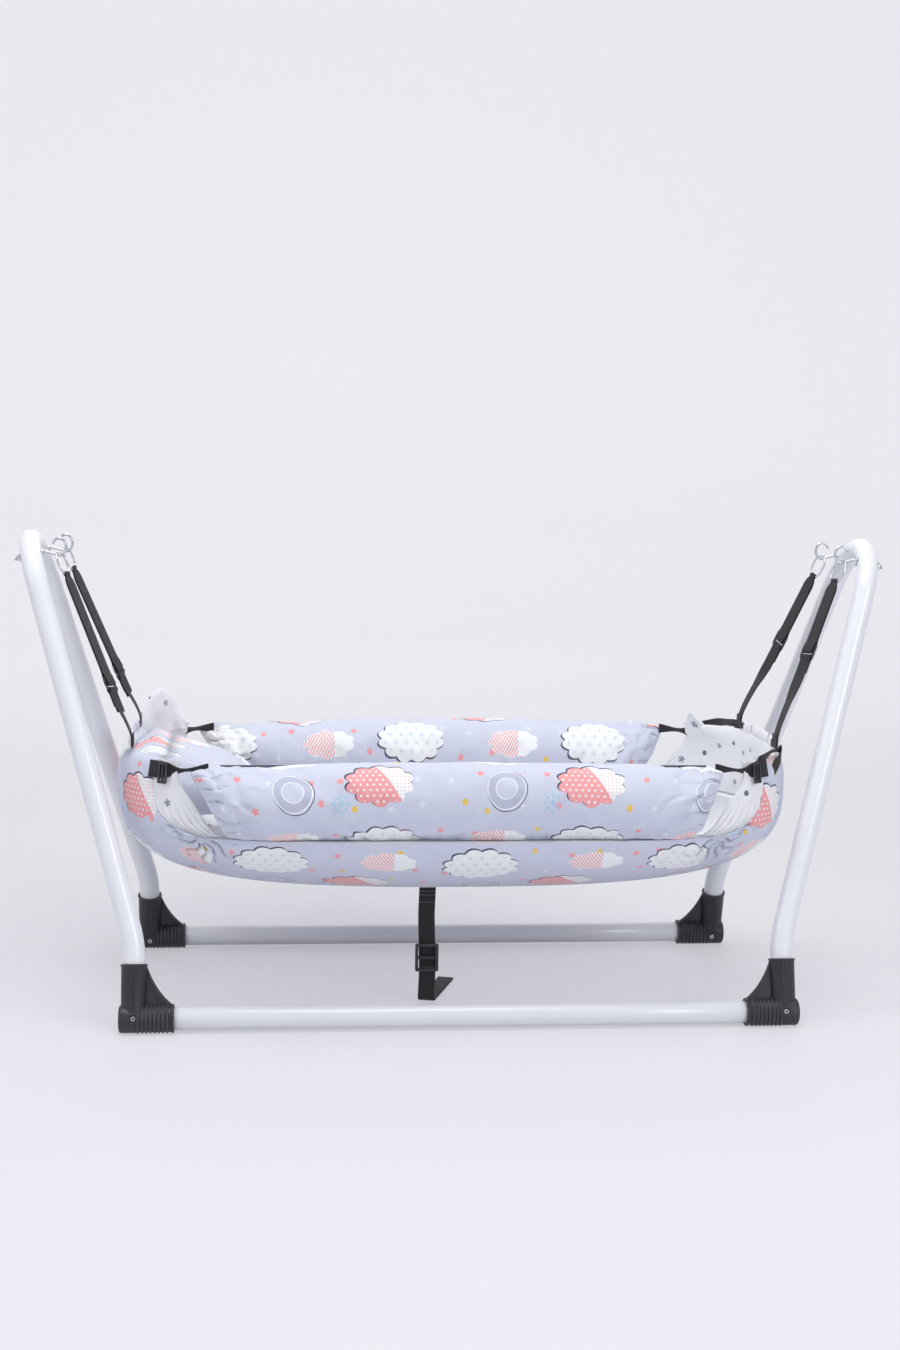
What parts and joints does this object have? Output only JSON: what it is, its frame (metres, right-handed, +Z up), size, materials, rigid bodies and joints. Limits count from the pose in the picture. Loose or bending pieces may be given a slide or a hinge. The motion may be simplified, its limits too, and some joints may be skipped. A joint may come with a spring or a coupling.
{
  "type": "hanging baby cradle",
  "caption": "Padded cloth cradle that webbing hangers carry between bent tube arches, held apart by straight floor rails in moulded corner sockets; it swings sideways.",
  "frame": {"origin": "on the floor, midway between the four corner connectors", "axes": "+X along the cradle towards its foot end, +Y towards its back side, +Z up"},
  "size_m": [1.307, 0.5584, 0.7001],
  "materials": {
    "frame_white": "gloss white powder coat",
    "moulding_black": "satin charcoal black moulding",
    "wire_zinc": "bright zinc plate",
    "webbing_black": "black woven webbing",
    "cloth_print": "grey-lilac cotton with a small light print, padded",
    "cloth_lining": "white cotton with small grey dots, padded"
  },
  "bodies": {
    "stand": {"left_arch": "frame_white", "right_arch": "frame_white", "front_rail": "frame_white", "back_rail": "frame_white", "front_left_connector": "moulding_black", "front_left_bolt": "wire_zinc", "front_left_hook": "wire_zinc", "front_left_hook_nut": "wire_zinc", "back_left_connector": "moulding_black", "back_left_bolt": "wire_zinc", "back_left_hook": "wire_zinc", "back_left_hook_nut": "wire_zinc", "front_right_connector": "moulding_black", "front_right_bolt": "wire_zinc", "front_right_hook": "wire_zinc", "front_right_hook_nut": "wire_zinc", "back_right_connector": "moulding_black", "back_right_bolt": "wire_zinc", "back_right_hook": "wire_zinc", "back_right_hook_nut": "wire_zinc"},
    "front_left_hanger": {"front_left_ring": "wire_zinc", "front_left_upper_strap": "webbing_black", "front_left_slider": "moulding_black", "front_left_lower_strap": "webbing_black"},
    "back_left_hanger": {"back_left_ring": "wire_zinc", "back_left_upper_strap": "webbing_black", "back_left_slider": "moulding_black", "back_left_lower_strap": "webbing_black"},
    "front_right_hanger": {"front_right_ring": "wire_zinc", "front_right_upper_strap": "webbing_black", "front_right_slider": "moulding_black", "front_right_lower_strap": "webbing_black"},
    "back_right_hanger": {"back_right_ring": "wire_zinc", "back_right_upper_strap": "webbing_black", "back_right_slider": "moulding_black", "back_right_lower_strap": "webbing_black"},
    "cradle": {"sling_body": "cloth_print", "mattress_pad": "cloth_lining", "head_pillow": "cloth_print", "front_bolster": "cloth_print", "back_bolster": "cloth_print", "left_end_wall": "cloth_print", "right_end_wall": "cloth_print", "left_hem_webbing": "webbing_black", "right_hem_webbing": "webbing_black", "front_left_gusset": "cloth_lining", "front_left_corner_strap": "webbing_black", "front_left_corner_buckle": "moulding_black", "back_left_gusset": "cloth_lining", "back_left_corner_strap": "webbing_black", "back_left_corner_buckle": "moulding_black", "front_right_gusset": "cloth_lining", "front_right_corner_strap": "webbing_black", "front_right_corner_buckle": "moulding_black", "back_right_gusset": "cloth_lining", "back_right_corner_strap": "webbing_black", "back_right_corner_buckle": "moulding_black", "fixing_strap": "webbing_black", "fixing_buckle": "moulding_black"}
  },
  "joints": [
    {"name": "front_left_swing", "type": "hinge", "parent": "stand", "child": "front_left_hanger", "pos_m": [-0.58852, -0.054, 0.66562], "axis": [1, 0, 0], "range_deg": [-12, 12], "deforming": ["fixing_strap"]},
    {"name": "back_left_swing", "type": "hinge", "parent": "stand", "child": "back_left_hanger", "pos_m": [-0.58852, 0.054, 0.66562], "axis": [1, 0, 0], "range_deg": [-12, 12]},
    {"name": "front_right_swing", "type": "hinge", "parent": "stand", "child": "front_right_hanger", "pos_m": [0.58852, -0.054, 0.66562], "axis": [1, 0, 0], "range_deg": [-12, 12]},
    {"name": "back_right_swing", "type": "hinge", "parent": "stand", "child": "back_right_hanger", "pos_m": [0.58852, 0.054, 0.66562], "axis": [1, 0, 0], "range_deg": [-12, 12]},
    {"name": "cradle_rock", "type": "hinge", "parent": "front_left_hanger", "child": "cradle", "pos_m": [-0.4792, -0.115, 0.4], "axis": [1, 0, 0], "range_deg": [-6, 6]}
  ],
  "couplings": [
    {"joint": "back_left_swing", "follows": "front_left_swing", "ratio": 1},
    {"joint": "front_right_swing", "follows": "front_left_swing", "ratio": 1},
    {"joint": "back_right_swing", "follows": "front_left_swing", "ratio": 1},
    {"joint": "cradle_rock", "follows": "front_left_swing", "ratio": -0.46957}
  ]
}
